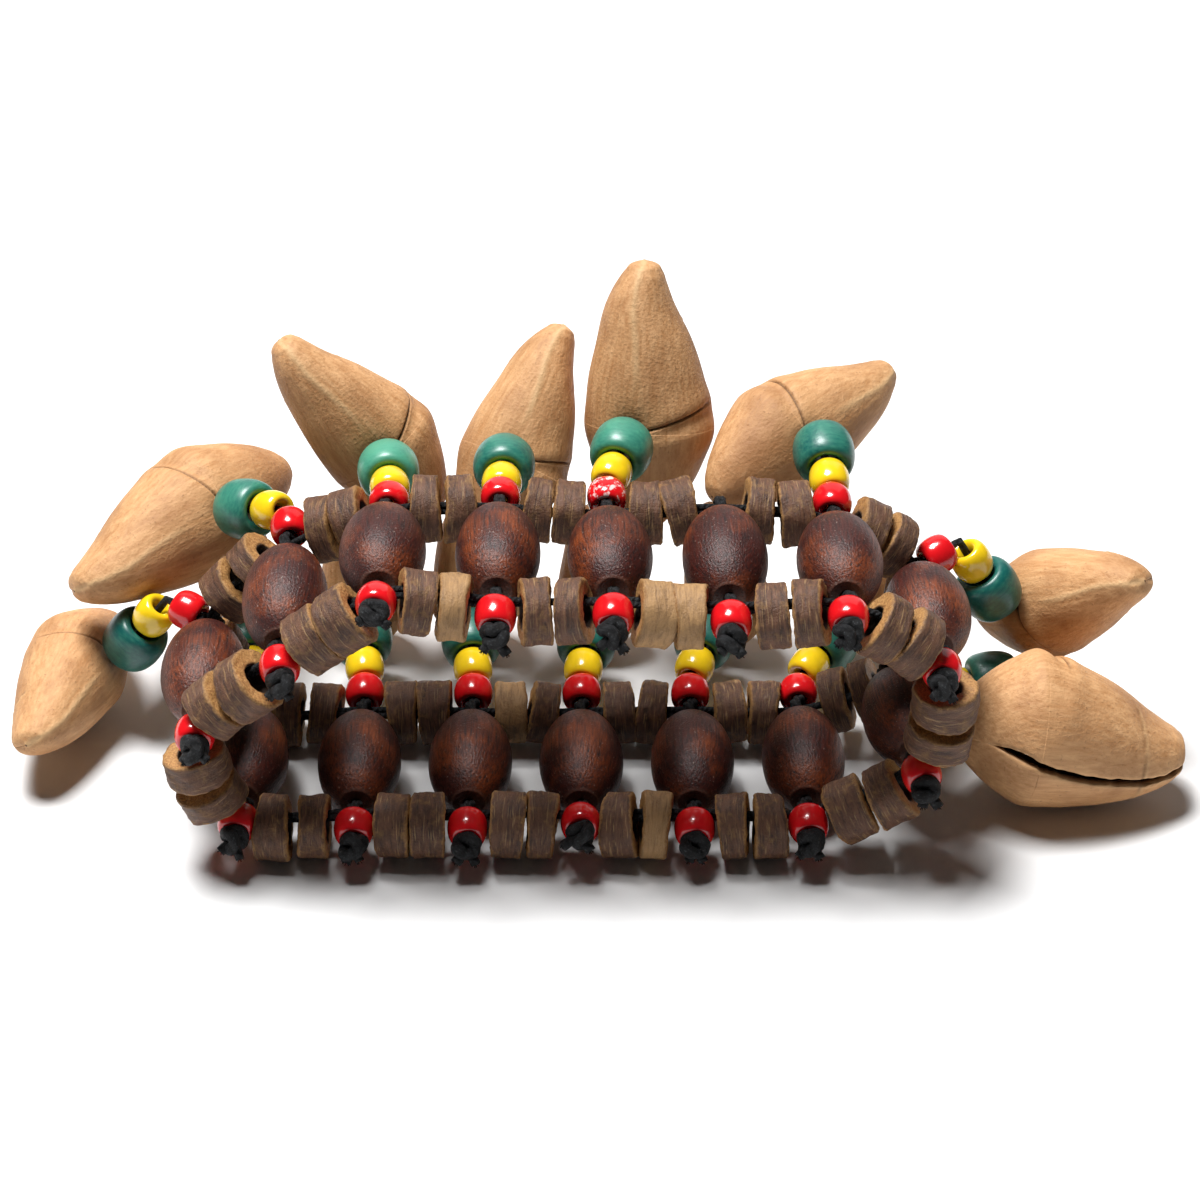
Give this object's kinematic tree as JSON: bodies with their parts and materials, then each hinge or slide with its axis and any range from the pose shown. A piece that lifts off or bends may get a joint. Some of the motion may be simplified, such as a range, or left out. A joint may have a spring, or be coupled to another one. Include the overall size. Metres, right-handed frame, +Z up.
{
  "type": "nutshell shaker bracelet",
  "caption": "Elastic wrist band of coconut-shell rings and oval wooden beads, with beaded drops that each end in a hollow split nutshell that rattles.",
  "frame": {"origin": "middle of the underside of the box round the bracelet as it lies", "axes": "+X along the flattened band, +Y through the wrist opening towards the nutshells, +Z up"},
  "size_m": [0.1524, 0.0676, 0.0564],
  "materials": {
    "coconut_shell": "scuffed dark shell rings on black elastic",
    "waxed_cord": "waxed black cord with a red bead",
    "stained_wood": "dark red-brown stain, satin",
    "painted_beads": "dyed and painted beads, gloss",
    "nut_husk": "dry matte husk"
  },
  "bodies": {
    "band": {"front_elastic": "coconut_shell", "rear_elastic": "coconut_shell", "cross_strand_01": "waxed_cord", "cross_strand_02": "waxed_cord", "cross_strand_03": "waxed_cord", "cross_strand_04": "waxed_cord", "cross_strand_05": "waxed_cord", "cross_strand_06": "waxed_cord", "cross_strand_07": "waxed_cord", "cross_strand_08": "waxed_cord", "cross_strand_09": "waxed_cord", "cross_strand_10": "waxed_cord", "cross_strand_11": "waxed_cord", "cross_strand_12": "waxed_cord", "cross_strand_13": "waxed_cord", "cross_strand_14": "waxed_cord", "cross_strand_15": "waxed_cord"},
    "oval_01": {"oval_bead_01": "stained_wood"},
    "oval_02": {"oval_bead_02": "stained_wood"},
    "oval_03": {"oval_bead_03": "stained_wood"},
    "oval_04": {"oval_bead_04": "stained_wood"},
    "oval_05": {"oval_bead_05": "stained_wood"},
    "oval_06": {"oval_bead_06": "stained_wood"},
    "oval_07": {"oval_bead_07": "stained_wood"},
    "oval_08": {"oval_bead_08": "stained_wood"},
    "oval_09": {"oval_bead_09": "stained_wood"},
    "oval_10": {"oval_bead_10": "stained_wood"},
    "oval_11": {"oval_bead_11": "stained_wood"},
    "oval_12": {"oval_bead_12": "stained_wood"},
    "oval_13": {"oval_bead_13": "stained_wood"},
    "oval_14": {"oval_bead_14": "stained_wood"},
    "oval_15": {"oval_bead_15": "stained_wood"},
    "drop_01": {"bead_drop_01": "painted_beads"},
    "nut_01": {"nutshell_01": "nut_husk"},
    "drop_02": {"bead_drop_02": "painted_beads"},
    "nut_02": {"nutshell_02": "nut_husk"},
    "drop_03": {"bead_drop_03": "painted_beads"},
    "nut_03": {"nutshell_03": "nut_husk"},
    "drop_04": {"bead_drop_04": "painted_beads"},
    "nut_04": {"nutshell_04": "nut_husk"},
    "drop_05": {"bead_drop_05": "painted_beads"},
    "nut_05": {"nutshell_05": "nut_husk"},
    "drop_07": {"bead_drop_07": "painted_beads"},
    "nut_07": {"nutshell_07": "nut_husk"},
    "drop_08": {"bead_drop_08": "painted_beads"},
    "nut_08": {"nutshell_08": "nut_husk"},
    "drop_09": {"bead_drop_09": "painted_beads"},
    "nut_09": {"nutshell_09": "nut_husk"},
    "drop_10": {"bead_drop_10": "painted_beads"},
    "nut_10": {"nutshell_10": "nut_husk"},
    "drop_11": {"bead_drop_11": "painted_beads"},
    "nut_11": {"nutshell_11": "nut_husk"},
    "drop_12": {"bead_drop_12": "painted_beads"},
    "nut_12": {"nutshell_12": "nut_husk"},
    "drop_13": {"bead_drop_13": "painted_beads"},
    "nut_13": {"nutshell_13": "nut_husk"},
    "drop_14": {"bead_drop_14": "painted_beads"},
    "nut_14": {"nutshell_14": "nut_husk"},
    "drop_15": {"bead_drop_15": "painted_beads"},
    "nut_15": {"nutshell_15": "nut_husk"}
  },
  "joints": [
    {"name": "drop_swing_01", "type": "hinge", "parent": "band", "child": "drop_01", "pos_m": [-0.04907, -0.00337, 0.01985], "axis": [0.2296, -0.002, 0.9733], "range_deg": [-2, 30]},
    {"name": "drop_swing_02", "type": "hinge", "parent": "band", "child": "drop_02", "pos_m": [-0.03825, -0.00343, 0.03182], "axis": [0.806, -0.0041, 0.5919], "range_deg": [0, 30]},
    {"name": "drop_swing_03", "type": "hinge", "parent": "band", "child": "drop_03", "pos_m": [-0.02594, -0.00349, 0.03683], "axis": [0.979, 0.0015, 0.2038], "range_deg": [-4, 30]},
    {"name": "drop_swing_04", "type": "hinge", "parent": "band", "child": "drop_04", "pos_m": [-0.01174, -0.00338, 0.03734], "axis": [1, 0.0019, -0.0089], "range_deg": [-4, 26]},
    {"name": "drop_swing_05", "type": "hinge", "parent": "band", "child": "drop_05", "pos_m": [0.0017, -0.00344, 0.03659], "axis": [1, 0, -0.0088], "range_deg": [-3, 30]},
    {"name": "drop_swing_07", "type": "hinge", "parent": "band", "child": "drop_07", "pos_m": [0.03006, -0.00347, 0.03566], "axis": [0.942, -0.0035, -0.3356], "range_deg": [-1, 30]},
    {"name": "drop_swing_08", "type": "hinge", "parent": "band", "child": "drop_08", "pos_m": [0.04085, -0.00348, 0.02821], "axis": [0.3361, -0.0028, -0.9418], "range_deg": [-4, 10]},
    {"name": "drop_swing_09", "type": "hinge", "parent": "band", "child": "drop_09", "pos_m": [0.03847, -0.00354, 0.01208], "axis": [0.5367, -0.004, 0.8438], "range_deg": [-1, 5]},
    {"name": "drop_swing_10", "type": "hinge", "parent": "band", "child": "drop_10", "pos_m": [0.02681, -0.00337, 0.00615], "axis": [0.9699, -0.0062, 0.2436], "range_deg": [-1, 12]},
    {"name": "drop_swing_11", "type": "hinge", "parent": "band", "child": "drop_11", "pos_m": [0.01266, -0.00337, 0.0056], "axis": [0.9998, 0, 0.0193], "range_deg": [-1, 12]},
    {"name": "drop_swing_12", "type": "hinge", "parent": "band", "child": "drop_12", "pos_m": [-0.00154, -0.00337, 0.0056], "axis": [1, 0, 0], "range_deg": [-1, 10]},
    {"name": "drop_swing_13", "type": "hinge", "parent": "band", "child": "drop_13", "pos_m": [-0.01574, -0.00337, 0.0056], "axis": [1, 0, 0], "range_deg": [-1, 1]},
    {"name": "drop_swing_14", "type": "hinge", "parent": "band", "child": "drop_14", "pos_m": [-0.02994, -0.00337, 0.0056], "axis": [0.9996, 0, -0.0277], "range_deg": [-1, 6]},
    {"name": "drop_swing_15", "type": "hinge", "parent": "band", "child": "drop_15", "pos_m": [-0.04425, -0.00337, 0.00639], "axis": [0.8019, 0, -0.5975], "range_deg": [-1, 1]},
    {"name": "nut_rock_01", "type": "hinge", "parent": "drop_01", "child": "nut_01", "pos_m": [-0.06234, 0.00239, 0.01057], "axis": [-0.5081, 0.2149, 0.8341], "range_deg": [-6, 16]},
    {"name": "nut_rock_02", "type": "hinge", "parent": "drop_02", "child": "nut_02", "pos_m": [-0.04753, 0.01106, 0.02777], "axis": [0.4431, -0.3925, -0.8059], "range_deg": [0, 14]},
    {"name": "nut_rock_03", "type": "hinge", "parent": "drop_03", "child": "nut_03", "pos_m": [-0.02695, 0.01348, 0.03381], "axis": [0.7502, 0.4148, 0.515], "range_deg": [-6, 16]},
    {"name": "nut_rock_04", "type": "hinge", "parent": "drop_04", "child": "nut_04", "pos_m": [-0.01143, 0.01379, 0.03421], "axis": [0.9146, -0.2226, -0.3375], "range_deg": [-6, 8]},
    {"name": "nut_rock_05", "type": "hinge", "parent": "drop_05", "child": "nut_05", "pos_m": [0.0046, 0.01414, 0.03738], "axis": [0.9799, -0.1967, 0.033], "range_deg": [-4, 16]},
    {"name": "nut_rock_07", "type": "hinge", "parent": "drop_07", "child": "nut_07", "pos_m": [0.02835, 0.01429, 0.03647], "axis": [0.5244, -0.3146, -0.7912], "range_deg": [-2, 16]},
    {"name": "nut_rock_08", "type": "hinge", "parent": "drop_08", "child": "nut_08", "pos_m": [0.05406, 0.00221, 0.01912], "axis": [0.1657, -0.5571, -0.8138], "range_deg": [-6, 6]},
    {"name": "nut_rock_09", "type": "hinge", "parent": "drop_09", "child": "nut_09", "pos_m": [0.05516, -0.00519, 0.00921], "axis": [-0.1373, -0.0567, -0.9889], "range_deg": [-6, 1]},
    {"name": "nut_rock_10", "type": "hinge", "parent": "drop_10", "child": "nut_10", "pos_m": [0.03317, 0.01306, 0.0078], "axis": [0.8352, -0.5219, -0.1736], "range_deg": [-6, 14]},
    {"name": "nut_rock_11", "type": "hinge", "parent": "drop_11", "child": "nut_11", "pos_m": [0.01596, 0.01398, 0.0083], "axis": [0.9566, -0.2367, 0.1699], "range_deg": [-6, 14]},
    {"name": "nut_rock_12", "type": "hinge", "parent": "drop_12", "child": "nut_12", "pos_m": [-0.00051, 0.01392, 0.0081], "axis": [0.9962, -0.0872, 0], "range_deg": [-6, 14]},
    {"name": "nut_rock_13", "type": "hinge", "parent": "drop_13", "child": "nut_13", "pos_m": [-0.01652, 0.01388, 0.00835], "axis": [0.9985, 0.0439, 0.0337], "range_deg": [-6, 6]},
    {"name": "nut_rock_14", "type": "hinge", "parent": "drop_14", "child": "nut_14", "pos_m": [-0.03116, 0.01402, 0.00853], "axis": [0.9945, 0.1045, 0], "range_deg": [-6, 14]},
    {"name": "nut_rock_15", "type": "hinge", "parent": "drop_15", "child": "nut_15", "pos_m": [-0.04715, 0.01463, 0.00766], "axis": [0.9793, -0.0574, -0.1941], "range_deg": [-6, 6]},
    {"name": "oval_spin_01", "type": "hinge", "parent": "band", "child": "oval_01", "pos_m": [-0.04907, -0.01422, 0.01985], "axis": [0, 1, 0], "continuous": true},
    {"name": "oval_spin_02", "type": "hinge", "parent": "band", "child": "oval_02", "pos_m": [-0.03825, -0.01425, 0.03107], "axis": [0, 0.9976, 0.0698], "continuous": true},
    {"name": "oval_spin_03", "type": "hinge", "parent": "band", "child": "oval_03", "pos_m": [-0.02594, -0.01428, 0.03797], "axis": [0, 0.9945, -0.1045], "continuous": true},
    {"name": "oval_spin_04", "type": "hinge", "parent": "band", "child": "oval_04", "pos_m": [-0.01174, -0.01423, 0.03772], "axis": [0, 0.9994, -0.0349], "continuous": true},
    {"name": "oval_spin_05", "type": "hinge", "parent": "band", "child": "oval_05", "pos_m": [0.00208, -0.01426, 0.03734], "axis": [-0.0348, 0.997, -0.0698], "continuous": true},
    {"name": "oval_spin_06", "type": "hinge", "parent": "band", "child": "oval_06", "pos_m": [0.01628, -0.01423, 0.0371], "axis": [-0.0349, 0.9994, 0], "continuous": true},
    {"name": "oval_spin_07", "type": "hinge", "parent": "band", "child": "oval_07", "pos_m": [0.03043, -0.01427, 0.03661], "axis": [-0.0348, 0.9956, -0.0872], "continuous": true},
    {"name": "oval_spin_08", "type": "hinge", "parent": "band", "child": "oval_08", "pos_m": [0.0416, -0.01427, 0.02897], "axis": [-0.0696, 0.9951, -0.0698], "continuous": true},
    {"name": "oval_spin_09", "type": "hinge", "parent": "band", "child": "oval_09", "pos_m": [0.03941, -0.0143, 0.01303], "axis": [-0.0868, 0.9924, -0.0872], "continuous": true},
    {"name": "oval_spin_10", "type": "hinge", "parent": "band", "child": "oval_10", "pos_m": [0.02681, -0.01422, 0.00615], "axis": [0, 1, 0], "continuous": true},
    {"name": "oval_spin_11", "type": "hinge", "parent": "band", "child": "oval_11", "pos_m": [0.01266, -0.01422, 0.0056], "axis": [0, 1, 0], "continuous": true},
    {"name": "oval_spin_12", "type": "hinge", "parent": "band", "child": "oval_12", "pos_m": [-0.00154, -0.01422, 0.0056], "axis": [0, 1, 0], "continuous": true},
    {"name": "oval_spin_13", "type": "hinge", "parent": "band", "child": "oval_13", "pos_m": [-0.01574, -0.01422, 0.0056], "axis": [0, 1, 0], "continuous": true},
    {"name": "oval_spin_14", "type": "hinge", "parent": "band", "child": "oval_14", "pos_m": [-0.02994, -0.01422, 0.0056], "axis": [0, 1, 0], "continuous": true},
    {"name": "oval_spin_15", "type": "hinge", "parent": "band", "child": "oval_15", "pos_m": [-0.04425, -0.01422, 0.00639], "axis": [0, 1, 0], "continuous": true}
  ]
}
